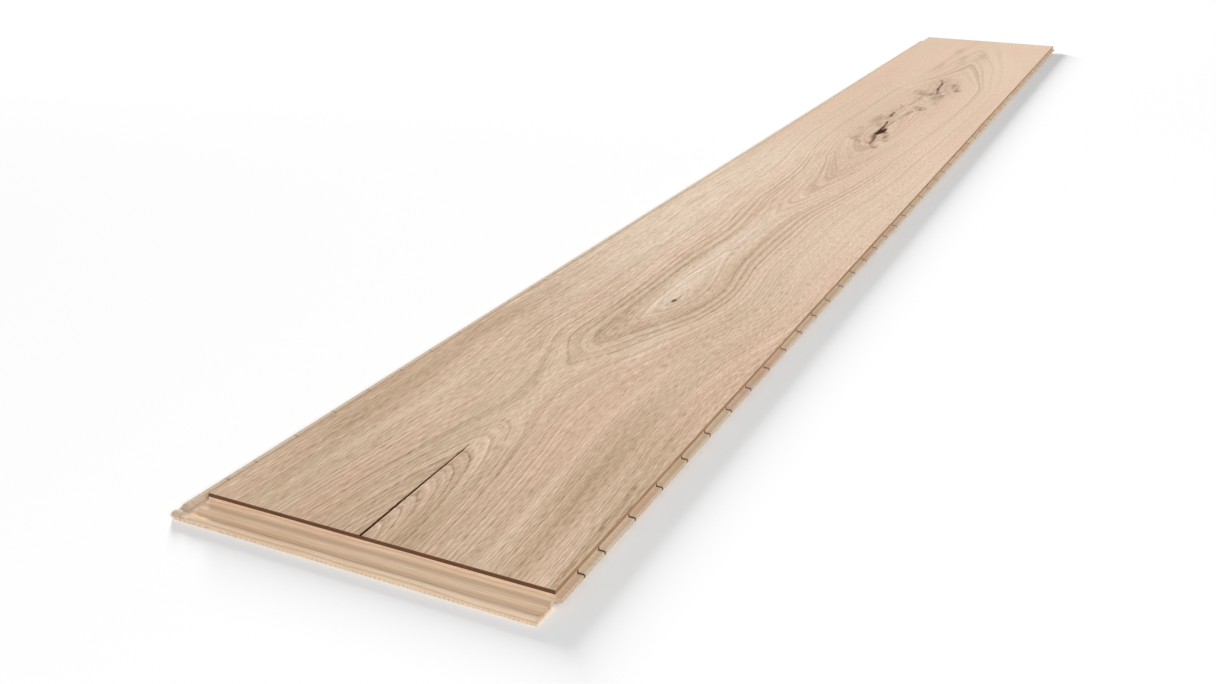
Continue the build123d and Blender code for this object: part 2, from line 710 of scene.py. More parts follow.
BLEMISHES: Tuple[Blemish, ...] = (
    Blemish(Mark.SPLIT, ((133.6, 467), (133.5, 468)), 2.5, 2.5, 0.9, 0.15),
    Blemish(Mark.STAIN, ((134, 460), (133, 484)), 4.0, 3.0, 0.6),
    Blemish(Mark.STAIN, ((59.5, 327), (59.2, 333)), 2.2, 1.9, 0.9),
    Blemish(Mark.STAIN, ((186, 534), (185, 538)), 1.8, 1.7, 0.7),
    Blemish(Mark.PALE, ((128, 470), (126, 510)), 9.0, 7.0, 0.85, 0.0, 2.5),
    Blemish(Mark.SPLIT, ((138.5, 1162), (132.5, 1195), (129, 1240)), 1.4, 2.2, 0.2, 0.1),
    Blemish(Mark.SPLIT, ((130.5, 1240), (133, 1254), (131.5, 1270)), 3.6, 3.0, 1.0, 0.4),
    Blemish(Mark.SPLIT, ((130, 1268), (126, 1300), (124, 1325)), 3.0, 1.0, 0.6, 0.15),
    Blemish(Mark.SPLIT, ((119.5, 1356), (117, 1374), (117.5, 1400)), 2.2, 1.4, 0.4, 0.15),
    Blemish(Mark.STAIN, ((130, 1225), (132, 1300)), 8.0, 5.0, 0.28, 0.0, 1.5),
    Blemish(Mark.STAIN, ((152, 1196), (149, 1215), (140, 1255)), 3.0, 3.4, 0.8),
    Blemish(Mark.STAIN, ((150, 1152), (139, 1166), (134, 1190)), 3.5, 3.5, 0.6, 0.0, 1.5),
    Blemish(Mark.STAIN, ((136, 1175), (130, 1240)), 5.5, 5.5, 0.45, 0.0, 1.5),
    Blemish(Mark.STAIN, ((116, 1180), (111, 1194), (108, 1204)), 4.0, 4.6, 0.7, 0.0, 1.5),
    Blemish(Mark.STAIN, ((106, 1215), (100, 1262)), 7.0, 7.0, 0.4, 0.0, 1.6),
    Blemish(Mark.STAIN, ((130, 1275), (127, 1335)), 5.0, 3.0, 0.5, 0.0, 1.5),
    Blemish(Mark.STAIN, ((113, 1292), (106, 1325), (105, 1355)), 6.5, 5.0, 0.62, 0.0, 2.0),
    Blemish(Mark.STAIN, ((131, 1300), (136, 1345), (141, 1415)), 2.6, 1.6, 0.7),
    Blemish(Mark.STAIN, ((120, 1345), (115, 1400), (117, 1450)), 6.5, 4.0, 0.55, 0.0, 1.5),
    Blemish(Mark.STAIN, ((147, 1440), (145, 1452)), 7.0, 6.5, 1.3, 0.1, 1.4),
    Blemish(Mark.STAIN, ((124, 1455), (130, 1530)), 2.0, 2.0, 0.4),
    Blemish(Mark.STAIN, ((128, 1200), (122, 1400)), 18.0, 14.0, 0.06, 0.0, 1.5),
    Blemish(Mark.SPLIT, ((146, 1560), (143, 1590), (139.5, 1620)), 1.0, 1.6, 0.1, 0.1),
    Blemish(Mark.SPLIT, ((140.5, 1612), (135.5, 1668), (132, 1686)), 1.7, 0.9, 0.4, 0.15),
    Blemish(Mark.STAIN, ((147, 1575), (138, 1650), (127, 1710)), 2.4, 1.4, 0.8),
    Blemish(Mark.STAIN, ((150, 1535), (142, 1560), (137, 1580)), 4.0, 6.0, 0.85, 0.1, 1.3),
    Blemish(Mark.STAIN, ((136, 1560), (120, 1568), (114, 1584)), 4.5, 5.5, 0.6, 0.0, 1.5),
    Blemish(Mark.STAIN, ((160, 1485), (156, 1540), (158, 1600)), 4.0, 4.0, 0.5, 0.0, 1.5),
    Blemish(Mark.STAIN, ((168, 1615), (164, 1638), (157, 1660)), 6.0, 6.0, 0.8, 0.1, 1.5),
    Blemish(Mark.STAIN, ((140, 1555), (138, 1700)), 24.0, 18.0, 0.42, 0.0, 1.5),
    Blemish(Mark.STAIN, ((136, 900), (139, 1010), (135, 1140)), 14.0, 22.0, 0.2, 0.0, 2.0),
    Blemish(Mark.STAIN, ((150, 1965), (144, 2020)), 9.0, 6.0, 0.3, 0.0, 2.0),
    Blemish(Mark.STAIN, ((122, 1900), (116, 1985)), 7.0, 6.0, 0.26, 0.0, 2.0),
    Blemish(Mark.STAIN, ((98, 1800), (96, 1880)), 4.0, 3.0, 0.3, 0.0, 2.0),
    Blemish(Mark.STAIN, ((96, 2020), (93, 2070)), 5.0, 4.0, 0.3, 0.0, 2.0),
    Blemish(Mark.PALE, ((83, 1600), (95, 1655), (116, 1708)), 4.0, 3.0, 0.6),
    Blemish(Mark.PALE, ((150, 1174), (149, 1192)), 6.0, 5.0, 1.0),
    Blemish(Mark.PALE, ((38, 720), (36, 850), (46, 1010)), 42.0, 36.0, 0.8, 0.0, 5.0),
    Blemish(Mark.PALE, ((158, 330), (146, 420)), 12.0, 8.0, 0.4),
    Blemish(Mark.PALE, ((124, 560), (126, 700)), 16.0, 14.0, 0.8, 0.0, 5.0),
)


@dataclass(frozen=True)
class Drift:
    """A second tone that comes and goes over the wood.

    Attributes:
        tone: The tone.
        across: Size of its patches across the board, in millimetres.
        along: Their size along the board.
        amount: How much of it shows at most.
        shift: How far its pattern is moved aside, in millimetres.
    """

    tone: Tone
    across: float
    along: float
    amount: float
    shift: float = 0.0


@dataclass(frozen=True)
class OakGrain:
    """How strongly the grain of the oak face shows. Places are in millimetres.

    A ramp holds two places and the value at each.

    Attributes:
        brightness: Lightness between the lines of the grain.
        band_depth: How much the ring bands change it.
        early_depth: How much the early wood darkens it.
        fibre_depth: How much the fibres change it.
        pore_depth: How much the pores darken it.
        streak_depth: How much the streaks change it.
        vein_depth: How much the veins darken it.
        calm: Strength of the rings along the board.
        saddle: Middle of the quiet stretch behind the crack, along the board.
        saddle_calm: Strength of the early wood by distance from there.
        heart: Middle of the figure across the board.
        beside: How much a place lies beside the figure, by distance from its middle.
        beside_along: Where along the board that counts.
        beside_loss: How much weaker the rings show there.
        crack_middle: Middle of the lively figure around the crack, across and along.
        crack_reach: How far that figure reaches, across and along.
        crack_gain: How much stronger the rings show there.
        bands: Widths of the ring bands and their shares of the tone.
        band_length: How far a band runs along the board before it changes.
        year: Mean width of a year's ring.
        year_size: Over which distance, across the rings and along the board, their
            width changes.
        year_change: By how many rings.
        pores: Share of the pores that follows the early wood, and the rest.
        fibre: Width and length of the fine fibres.
        fibre_gain: Strength of fibres and pores along the board.
        streak: Width and length of the broader streaks.
        streak_near: Their strength at the near end.
        streak_far: Their strength towards the far end.
        streak_left: Their strength across the board.
        right_light: Lightness across the board.
        veins: Dark veins, as ring, half width, start, end and strength.
        vein_fade: How far a vein takes to come in and to go out along the board.
        vein_gap: Factor on the distance from a vein, along the board. Less than 1 makes
            the vein wider.
    """

    brightness: float = 1.06
    band_depth: float = 0.36
    early_depth: float = 0.2
    fibre_depth: float = 1.3
    pore_depth: float = 0.36
    streak_depth: float = 0.9
    vein_depth: float = 0.24
    calm: Ramp = (1150.0, 1750.0, 1.0, 0.45)
    saddle: float = 235.0
    saddle_calm: Ramp = (74.0, 114.0, 0.3, 1.0)
    heart: float = 132.0
    beside: Ramp = (28.0, 62.0, 0.0, 1.0)
    beside_along: Ramp = (430.0, 640.0, 0.0, 1.0)
    beside_loss: float = 0.5
    crack_middle: Place = (121.0, 70.0)
    crack_reach: Place = (45.0, 110.0)
    crack_gain: float = 0.65
    bands: Tuple[Place, ...] = ((6.5, 0.14), (2.5, 0.28), (1.1, 0.34), (0.5, 0.34))
    band_length: float = 700.0
    year: float = 3.0
    year_size: Place = (8.0, 900.0)
    year_change: float = 3.4
    pores: Place = (0.7, 0.3)
    fibre: Place = (0.55, 11.0)
    fibre_gain: Ramp = (950.0, 150.0, 1.0, 1.3)
    streak: Place = (1.7, 48.0)
    streak_near: Ramp = (40.0, 330.0, 0.25, 1.0)
    streak_far: Ramp = (1500.0, 800.0, 0.0, 1.0)
    streak_left: Ramp = (170.0, 75.0, 0.35, 1.0)
    right_light: Ramp = (120.0, 220.0, 1.01, 1.06)
    veins: Tuple[Tuple[float, float, float, float, float], ...] = (
        (83.8, 1.3, 340.0, 2150.0, 1.0),
        (82.0, 0.5, 280.0, 620.0, 0.5),
        (80.4, 0.7, 290.0, 1100.0, 0.7),
        (78.7, 0.5, 300.0, 700.0, 0.5),
        (87.5, 0.8, 400.0, 2150.0, 0.5),
        (105.0, 1.2, 300.0, 2150.0, 0.35),
        (96.0, 0.8, 1500.0, 2200.0, 0.4),
    )
    vein_fade: Place = (60.0, 150.0)
    vein_gap: Ramp = (900.0, 1800.0, 1.0, 0.5)


@dataclass(frozen=True)
class OakFinish:
    """Colours and measures of the matte oak face and its cut edges.

    Attributes:
        plain: The wood's usual colour.
        dull: A darker colour towards the near end, partly darker wood and partly painted shade
            where less light falls.
        dull_and_shade_share: How much of that colour shows along the board.
        drifts: The tones that drift in: darker, redder and greener wood.
        tint: Powers that make darker wood redder and less blue.
        stain: Brown wood around the knots.
        stain_cover: How much of that colour covers the wood at most.
        split: Dark filler in the splits.
        pale: Light wood beside the knots.
        pale_cover: How much of that colour covers the wood at most.
        ragged: Size of the ragged edges of the marks, across and along.
        side: Colour of the long edges.
        end: Dark sealed colour of the end edges.
        edge_fibre: Width and length of the fibres on the edges.
        edge_drift: How much darker a second tone on the edges is, as a factor.
        painted_edge_shade: Painted shade on the edges: their lightness by how far they face to the
            left, where the low lamp lights them strongly.
        roughness: How matte the face is.
        edge_roughness: How matte the cut edges are.
        gloss: How much the face reflects.
        edge_gloss: How much the cut edges reflect.
        relief: Depth of the face's pores, in metres.
        edge_relief: Depth of the edges' fibres, in metres.
        grain: How strongly the grain shows.
    """

    plain: Tone = (224, 195, 171)
    dull: Tone = (175, 148, 118)
    dull_and_shade_share: Ramp = (1000.0, -150.0, 0.0, 0.9)
    drifts: Tuple[Drift, ...] = (
        Drift((175, 148, 118), 55.0, 330.0, 0.15),
        Drift((225, 190, 167), 45.0, 420.0, 0.5, 90.0),
        Drift((218, 197, 170), 60.0, 520.0, 0.45, 240.0),
    )
    tint: Place = (0.85, 1.2)
    stain: Tone = (133, 102, 78)
    stain_cover: float = 0.85
    split: Tone = (56, 33, 21)
    pale: Tone = (230, 210, 187)
    pale_cover: float = 0.8
    ragged: Place = (1.6, 11.0)
    side: Tone = (172, 134, 103)
    end: Tone = (110, 73, 49)
    edge_fibre: Place = (0.7, 9.0)
    edge_drift: float = 0.86
    painted_edge_shade: Ramp = (-0.3, -0.65, 1.0, 0.4)
    roughness: float = 0.66
    edge_roughness: float = 0.78
    gloss: float = 0.15
    edge_gloss: float = 0.5
    relief: float = 0.00012
    edge_relief: float = 0.00015
    grain: OakGrain = OakGrain()


@dataclass(frozen=True)
class SoftwoodFinish:
    """Colours and measures of sawn softwood. Places are in millimetres.

    Attributes:
        light: Early wood.
        late: Late wood lines.
        pink: A redder wood that some pieces have.
        grey: A duller wood that some pieces have.
        milled: Duller end grain on the lip of the left side.
        brown: What dulls that lip more towards the near end, as a factor.
        sawn: Dark brown for the saw gaps, partly darker sawn wood and partly painted shade.
        ring_width: Width of a year's ring.
        fibre: Width and length of the fibres.
        late_cover: How much the late wood covers at most.
        lip_cover: How much the darker lines and the painted shade on the near lip cover at most.
        fibre_depth: How much the fibres change the lightness.
        pore_depth: How much the pores darken it.
        end_grain: How much a face is end grain, by how far it faces sideways.
        end_grain_and_shade_loss: How much darker end grain is, partly the wood's own tone and
            partly painted shade on end faces that the lamps light strongly.
        ring_loss: How much fainter the rings are on end grain and on the tongue.
        tongue: How much a place belongs to the tongue, across the board.
        tongue_dull: How much darker the tongue is, along the board.
        left_lip: How much a place belongs to the left lip, across the board.
        near_lip: Where along the board that lip turns brown.
        gap_shade_reach: How strongly the painted shade of the saw gaps shows, across the board.
        painted_left_shade: Painted shade: lightness of a face by how far it faces to the left.
        painted_back_shade: Painted shade: lightness of a face by how far it faces to the far end.
        lip_grain_and_shade_lines: Darker lines on the near lip, grain and painted shade in its
            hollow, as place out from
        the oak, half width and strength.
        roughness: How dull the sawn surface is.
        gloss: How much it reflects.
        relief: Depth of its grain, in metres.
    """

    light: Tone = (251, 227, 199)
    late: Tone = (200, 158, 119)
    pink: Tone = (245, 202, 176)
    grey: Tone = (242, 224, 186)
    milled: Tone = (233, 222, 205)
    brown: Tuple[float, float, float, float] = (0.8, 0.71, 0.65, 1.0)
    sawn: Tone = (108, 80, 60)
    ring_width: float = 3.2
    fibre: Place = (0.45, 22.0)
    late_cover: float = 0.6
    lip_cover: float = 0.62
    fibre_depth: float = 0.3
    pore_depth: float = 0.06
    end_grain: Ramp = (0.6, 0.95, 0.0, 1.0)
    end_grain_and_shade_loss: float = 0.14
    ring_loss: float = 0.6
    tongue: Ramp = (252.0, 256.0, 0.0, 1.0)
    tongue_dull: Ramp = (500.0, 1700.0, -0.22, -0.03)
    left_lip: Ramp = (-1.0, -4.0, 0.0, 1.0)
    near_lip: Ramp = (1300.0, 0.0, 0.0, 1.0)
    gap_shade_reach: Ramp = (-5.0, 110.0, 0.0, 1.0)
    painted_left_shade: Ramp = (-0.3, -0.7, 1.0, 0.6)
    painted_back_shade: Ramp = (0.3, 0.7, 1.0, 0.6)
    lip_grain_and_shade_lines: Tuple[Triple, ...] = (
        (5.6, 3.0, 0.9), (8.2, 1.2, 0.4), (10.4, 1.0, 0.5), (13.2, 3.0, 0.8), (17.2, 0.8, 0.5)
    )
    roughness: float = 0.7
    gloss: float = 0.3
    relief: float = 0.0002


@dataclass(frozen=True)
class Spot:
    """The shaded point, in millimetres from the near left corner of the oak face.

    Attributes:
        graph: The material's tree.
        across: How far to the right it lies.
        along: How far towards the far end it lies.
        height: How far above the face it lies.
    """

    graph: Graph
    across: Value
    along: Value
    height: Value


class Finisher:
    """Makes the materials from the shared effects."""

    def __init__(self, effects: Effects, corner: Vector, length: float) -> None:
        """Keep the effects and where millimetres are counted from.

        Args:
            effects: The shader groups.
            corner: The near left corner of the oak face, in metres.
            length: The oak face's length in millimetres.
        """
        self.effects, self.corner, self.length = effects, corner, length

    def start(self, name: str) -> Tuple[bpy.types.Material, bpy.types.Node, Spot]:
        """Make an empty material with its shader.

        Args:
            name: The material's name.

        Returns:
            The material, its Principled shader and the shaded point.
        """
        material = bpy.data.materials.new(name)
        graph = emptied(material)
        shader = graph.add("ShaderNodeBsdfPrincipled")
        output = graph.add("ShaderNodeOutputMaterial")
        graph.feed(output.inputs["Surface"], Value(graph, shader.outputs[0]))
        place = graph.read("ShaderNodeTexCoord", "Object")
        place = graph.vector("SUBTRACT", place, tuple(self.corner))
        return material, shader, Spot(graph, *graph.parts(graph.scaled(place, 1 / MM)))

    def cover(
        self,
        shader: bpy.types.Node,
        colour: Value,
        rough: Source,
        gloss: float,
        height: Value,
        depth: float,
    ) -> None:
        """Give a surface its colour, its sheen and fine relief.

        Args:
            shader: Its shader.
            colour: Its colour.
            rough: How matte it is.
            gloss: How much it reflects.
            height: Relief from 0 to 1.
            depth: Its real height in metres.
        """
        graph = colour.graph
        graph.feed(shader.inputs["Base Color"], colour)
        graph.feed(shader.inputs["Roughness"], rough)
        shader.inputs["Specular IOR Level"].default_value = gloss
        node = graph.add("ShaderNodeBump")
        node.inputs["Strength"].default_value = 1.0
        node.inputs["Distance"].default_value = depth
        graph.feed(node.inputs["Height"], height)
        graph.feed(shader.inputs["Normal"], Value(graph, node.outputs[0]))

    def fibres(self, spot: Spot, size: Place, height: Source) -> Dict[str, Value]:
        """Draw lengthwise fibres and pores.

        Args:
            spot: The shaded point.
            size: Their width and length in millimetres.
            height: Where the point lies in their depth, in millimetres.

        Returns:
            Fibre and pore by name.
        """
        return self.effects.fibres.place(
            spot.graph,
            Across=spot.across,
            Along=spot.along,
            Height=height,
            Width=size[0],
            Length=size[1],
        )

    def drift(self, spot: Spot, colour: Source, drift: Drift) -> Value:
        """Let a second tone come and go over a colour.

        Args:
            spot: The shaded point.
            colour: The colour.
            drift: The second tone.

        Returns:
            The mixed colour.
        """
        return self.effects.drift.place(
            spot.graph,
            Colour=colour,
            Other=linear(drift.tone),
            Across=spot.across + drift.shift,
            Along=spot.along,
            Across_Size=drift.across,
            Along_Size=drift.along,
            Amount=drift.amount,
        )["Colour"]

    def crack(self, spot: Spot) -> Value:
        """Draw the long straight crack at the near end.

        Args:
            spot: The shaded point.

        Returns:
            Its mask.
        """
        graph = spot.graph
        wave = graph.noise(graph.joined(0.0, spot.along / 6.0, 11.0), 3.0, 0.6) - 0.5
        point = graph.joined(wave.times_plus(0.8, spot.across), spot.along)
        widths = np.linspace(CRACK.width, CRACK.end_width, len(CRACK.path)).tolist()
        pieces = [
            self.effects.streak.place(
                graph,
                Point=point,
                Start=(*start, 0.0),
                End=(*end, 0.0),
                Start_Width=wide,
                End_Width=narrow,
                Softness=0.35,
            )["Mask"]
            for start, end, wide, narrow in zip(CRACK.path, CRACK.path[1:], widths, widths[1:])
        ]
        return reduce(Value.larger, pieces)

    def marks(self, spot: Spot, edge: Place) -> Dict[Mark, Value]:
        """Read the marks stored with the face and give them ragged edges.

        Args:
            spot: The shaded point.
            edge: Size of the ragged edges, across and along.

        Returns:
            One mask for each kind of mark.
        """
        graph = spot.graph
        stored = graph.read(
            "ShaderNodeAttribute", "Vector", attribute_type="GEOMETRY", attribute_name=MARKS
        )
        stain, split, pale = graph.parts(stored)
        ragged = graph.patches(spot.across, spot.along, edge, 11.0, 3.0, 0.6) - 0.5
        split = ragged.times_plus(0.4, split)
        stain = stain * ragged.times_plus(1.1, 1.0) + split.spread(0.12, 0.5, 0.0, 0.9)
        split = split.spread(0.42, 0.78).larger(self.crack(spot))
        return {Mark.STAIN: stain, Mark.SPLIT: split, Mark.PALE: pale}

    def liveliness(self, spot: Spot, grain: OakGrain) -> Value:
        """Tell how strongly the growth rings show.

        Args:
            spot: The shaded point.
            grain: The oak's grain.

        Returns:
            A factor around 1.
        """
        across, along = spot.across, spot.along
        crack = spot.graph.hill(across, along, grain.crack_middle, grain.crack_reach)
        beside = abs(across - grain.heart).spread(*grain.beside)
        beside = beside * along.spread(*grain.beside_along)
        lively = along.spread(*grain.calm) * crack.times_plus(grain.crack_gain, 1.0)
        return lively * beside.times_plus(-grain.beside_loss, 1.0)

    def bands(self, spot: Spot, rings: Value, grain: OakGrain) -> Value:
        """Turn ring places into light and dark bands of uneven width.

        Args:
            spot: The shaded point.
            rings: Its distance from the pith in millimetres.
            grain: The oak's grain.

        Returns:
            Bands around one half, high where the wood is darker.
        """
        bands = []
        for width, share in grain.bands:
            size = (width, grain.band_length)
            band = spot.graph.patches(rings, spot.along, size, width, 1.0)
            bands.append(band.spread(0.3, 0.7) * share)
        return reduce(Value.__add__, bands)

    def early_wood(self, spot: Spot, rings: Value, grain: OakGrain) -> Value:
        """Draw the porous wood that each year's ring starts with.

        Args:
            spot: The shaded point.
            rings: Its distance from the pith in millimetres.
            grain: The oak's grain.

        Returns:
            A mask that starts sharply and fades within the ring.
        """
        graph = spot.graph
        uneven = graph.patches(rings, spot.along, grain.year_size, 4.0, 1.0)
        turn = rings / grain.year + uneven * grain.year_change
        phase = graph.math("FRACT", turn)
        line = phase.spread(0.5, 0.0).larger(phase.spread(0.9, 1.0))
        slow = graph.noise(graph.joined(turn / 1.7, 0.0, 9.0), 0.0)
        return line * slow.spread(*UNEVEN)

    def veins(self, spot: Spot, rings: Value, grain: OakGrain) -> Value:
        """Add the few dark veins that stand out on the face.

        Args:
            spot: The shaded point.
            rings: Its distance from the pith in millimetres.
            grain: The oak's grain.

        Returns:
            Their mask.
        """
        along, (fade_in, fade_out) = spot.along, grain.vein_fade
        thin = along.spread(*grain.vein_gap)
        lines = [
            (abs(rings - ring) * thin).spread(0.0, half, strength, 0.0)
            * along.spread(start, start + fade_in)
            * along.spread(end, end - fade_out)
            for ring, half, start, end, strength in grain.veins
        ]
        return reduce(Value.__add__, lines)

    def oak_tone(self, spot: Spot, finish: OakFinish) -> Value:
        """Mix the oak's slowly changing colour.

        Args:
            spot: The shaded point.
            finish: Its colours.

        Returns:
            The colour without grain.
        """
        # Darker towards the near end: partly the wood, partly painted shade.
        share = spot.along.spread(*finish.dull_and_shade_share)
        colour = spot.graph.blend(share, linear(finish.plain), linear(finish.dull))
        for drift in finish.drifts:
            colour = self.drift(spot, colour, drift)
        return colour

    def streaks(self, spot: Spot, grain: OakGrain) -> Value:
        """Draw the broader streaks, strongest on the left half.

        Args:
            spot: The shaded point.
            grain: The oak's grain.

        Returns:
            Their tone around zero.
        """
        streak = self.fibres(spot, grain.streak, 20.0)["Fibre"] - 0.5
        reach = spot.along.spread(*grain.streak_near) * spot.along.spread(*grain.streak_far)
        return streak * (reach * spot.across.spread(*grain.streak_left))

    def oak_face(self, finish: OakFinish) -> bpy.types.Material:
        """Make the material of the oak's top face.

        Args:
            finish: Its colours and its grain.

        Returns:
            The material.
        """
        material, shader, spot = self.start("oak_face")
        graph, grain = spot.graph, finish.grain
        rings = self.effects.rings.place(graph, Across=spot.across, Along=spot.along)["Rings"]
        masks = self.marks(spot, finish.ragged)
        lively = self.liveliness(spot, grain)
        bands = (self.bands(spot, rings, grain) - 0.5).times_plus(lively, 0.5)
        saddle = abs(spot.along - grain.saddle).spread(*grain.saddle_calm)
        early = self.early_wood(spot, rings, grain) * lively * saddle
        fibres = self.fibres(spot, grain.fibre, 0.0)
        fibre = fibres["Fibre"] - 0.5
        pore = fibres["Pore"] * early.times_plus(*grain.pores)
        gain = spot.along.spread(*grain.fibre_gain)

        shade = (bands - 0.5).times_plus(-grain.band_depth, grain.brightness)
        shade = early.times_plus(-grain.early_depth, shade)
        shade = fibre.times_plus(gain * grain.fibre_depth, shade)
        shade = pore.times_plus(gain * -grain.pore_depth, shade)
        shade = self.streaks(spot, grain).times_plus(grain.streak_depth, shade)
        shade = self.veins(spot, rings, grain).times_plus(-grain.vein_depth, shade)
        shade = shade * spot.across.spread(*grain.right_light)

        split = masks[Mark.SPLIT].limited(1.0)
        colour = self.oak_tone(spot, finish)
        pale = masks[Mark.PALE].limited(finish.pale_cover)
        colour = graph.blend(pale, colour, linear(finish.pale))
        tint = graph.joined(shade ** finish.tint[0], shade, shade ** finish.tint[1])
        colour = graph.vector("MULTIPLY", colour, tint)
        stain = masks[Mark.STAIN].limited(finish.stain_cover)
        colour = graph.blend(stain, colour, linear(finish.stain))
        colour = graph.blend(split, colour, linear(finish.split))
        rough = split.times_plus(0.3, bands.times_plus(0.08, finish.roughness - 0.04))
        relief = pore.times_plus(-0.8, fibre)
        self.cover(shader, colour, rough, finish.gloss, relief, finish.relief)
        return material

    def oak_side(self, name: str, tone: Tone, finish: OakFinish) -> bpy.types.Material:
        """Make the material of the oak's cut edges.

        Args:
            name: The material's name.
            tone: Its colour.
            finish: The oak's measures.

        Returns:
            The material.
        """
        material, shader, spot = self.start(name)
        graph = spot.graph
        fibres = self.fibres(spot, finish.edge_fibre, spot.height)
        shade = fibres["Pore"].times_plus(-0.2, (fibres["Fibre"] - 0.5).times_plus(0.5, 1.0))
        normal = graph.parts(graph.read("ShaderNodeNewGeometry", "Normal"))
        # Painted shade: edges that face to the left are darkened.
        shade = shade * normal[0].spread(*finish.painted_edge_shade)
        red, green, blue = (finish.edge_drift * c for c in tone)
        colour = self.drift(spot, linear(tone), Drift((red, green, blue), 25.0, 60.0, 0.6))
        colour = graph.tinted(colour, shade)
        rough, gloss, depth = finish.edge_roughness, finish.edge_gloss, finish.edge_relief
        self.cover(shader, colour, rough, gloss, fibres["Fibre"], depth)
        return material

    def gap_rim_shade(self, along: Value) -> Value:
        """Mask the rims of the saw gaps between the slats, for painted shade.

        Args:
            along: Millimetres from the near end.

        Returns:
            Their mask.
        """
        graph, middle = along.graph, self.length / 2
        inward = middle - abs(along - middle)
        turn = (inward.larger(2 * END_SLAT - SLAT / 2) - 2 * END_SLAT) / SLAT + 0.5
        others = abs(graph.math("FRACT", turn) - 0.5) * SLAT
        nearest = graph.math("MINIMUM", abs(inward - END_SLAT), others)
        return nearest.spread(0.7, 1.5, 0.55, 0.0)

    def lip_grain_and_hollow_shade(self, spot: Spot, finish: SoftwoodFinish) -> Value:
        """Draw the darker lines that run along the near end lip: grain, and painted shade in its
        hollow.

        Args:
            spot: The shaded point.
            finish: The slats' measures.

        Returns:
            Their mask.
        """
        wave = spot.graph.patches(spot.across, spot.along, (55.0, 12.0), 2.0) - 0.5
        lines = [
            abs(wave.times_plus(2.4, spot.along + out)).spread(0.2 * half, half, strength, 0.0)
            for out, half, strength in finish.lip_grain_and_shade_lines
        ]
        return reduce(Value.larger, lines)

    def slat_edges(self, spot: Spot, colour: Value, facing: Value, finish: SoftwoodFinish) -> Value:
        """Colour the left lip of the slats, and paint shade on their sawn sides and in the saw
        gaps.

        Args:
            spot: The shaded point.
            colour: The wood's colour.
            facing: How far the surface faces along the board.
            finish: The slats' colours.

        Returns:
            The colour with both.
        """
        graph, along = spot.graph, spot.along
        lip = spot.across.spread(*finish.left_lip)
        colour = graph.blend(lip * 0.8, colour, linear(finish.milled))
        brown = graph.blend(lip * along.spread(*finish.near_lip), WHITE, finish.brown)
        colour = graph.vector("MULTIPLY", colour, brown)
        # Painted shade: faces across the board, in the saw gaps and at the far end, and the rims of
        # the gaps turn dark brown, less so at the left ends.
        cut = abs(facing).spread(0.9, 0.99) * along.spread(1.0, 4.0)
        cut = cut.larger(self.gap_rim_shade(along)) * spot.across.spread(*finish.gap_shade_reach)
        return graph.blend(cut, colour, linear(finish.sawn))

    def softwood(self, name: str, finish: SoftwoodFinish, crosswise: bool) -> bpy.types.Material:
        """Make the material of the core slats or of the back veneer.

        Args:
            name: The material's name.
            finish: Its colours.
            crosswise: Whether the grain runs across the board, as in the slats.

        Returns:
            The material.
        """
        material, shader, spot = self.start(name)
        graph, across, along = spot.graph, spot.across, spot.along
        side, run = (along, across) if crosswise else (across, along)
        seed, hue, tint = graph.parts(graph.read("ShaderNodeObjectInfo", "Color"))
        rings = self.effects.slat_rings.place(
            graph,
            Across=run,
            Along=side,
            Height=spot.height,
            Seed=seed,
            Ring_Width=finish.ring_width,
        )
        turned = Spot(graph, side, run, spot.height)
        fibres = self.fibres(turned, finish.fibre, spot.height)
        fibre = fibres["Fibre"]
        late = rings["Late Wood"] * finish.late_cover * rings["Slow"].spread(*UNEVEN)
        normal = graph.parts(graph.read("ShaderNodeNewGeometry", "Normal"))
        shade = (fibre - 0.5).times_plus(finish.fibre_depth, 1.0)
        shade = fibres["Pore"].times_plus(-finish.pore_depth, shade)
        # Painted shade: faces turned to the left and to the far end, which the low lamp lights
        # strongly, are darkened.
        shade = shade * normal[0].spread(*finish.painted_left_shade)
        shade = shade * normal[1].spread(*finish.painted_back_shade)
        if crosswise:
            end_grain = abs(normal[0]).spread(*finish.end_grain)
            tongue = across.spread(*finish.tongue)
            faint = end_grain.larger(tongue).times_plus(-finish.ring_loss, 1.0)
            # The near lip's lines are grain, and painted shade over its hollow.
            late = (late * faint * 0.9).larger(self.lip_grain_and_hollow_shade(spot, finish) * finish.lip_cover)
            # End grain is darker, and this also paints shade on the end faces.
            shade = shade * end_grain.times_plus(-finish.end_grain_and_shade_loss, 1.0)
            shade = shade * (tongue * along.spread(*finish.tongue_dull) + 1.0)

        colour = graph.blend(hue, linear(finish.light), linear(finish.pink))
        colour = graph.blend(tint * 0.7, colour, linear(finish.grey))
        colour = self.drift(spot, colour, Drift(finish.light, 60.0, 35.0, 0.6))
        colour = graph.blend(late, colour, linear(finish.late))
        if crosswise:
            colour = self.slat_edges(spot, colour, normal[1], finish)
        colour = graph.tinted(colour, shade)
        rough = fibre.times_plus(0.15, finish.roughness - 0.07)
        relief = rings["Late Wood"].times_plus(0.5, fibre)
        self.cover(shader, colour, rough, finish.gloss, relief, finish.relief)
        return material


class Zone(IntEnum):
    """The zones of the strip's surface, in the order of their materials."""

    FACE = 0
    SIDE = 1
    END = 2


def smooth(share: np.ndarray) -> np.ndarray:
    """Ease values from 0 to 1 in and out."""
    return share * share * (3 - 2 * share)


def added(name: str, data: bpy.types.ID) -> bpy.types.Object:
    """Add an object to the scene.

    Args:
        name: Its name.
        data: Its mesh, light or camera.

    Returns:
        The object.
    """
    made = bpy.data.objects.new(name, data)
    bpy.context.scene.collection.objects.link(made)
    return made


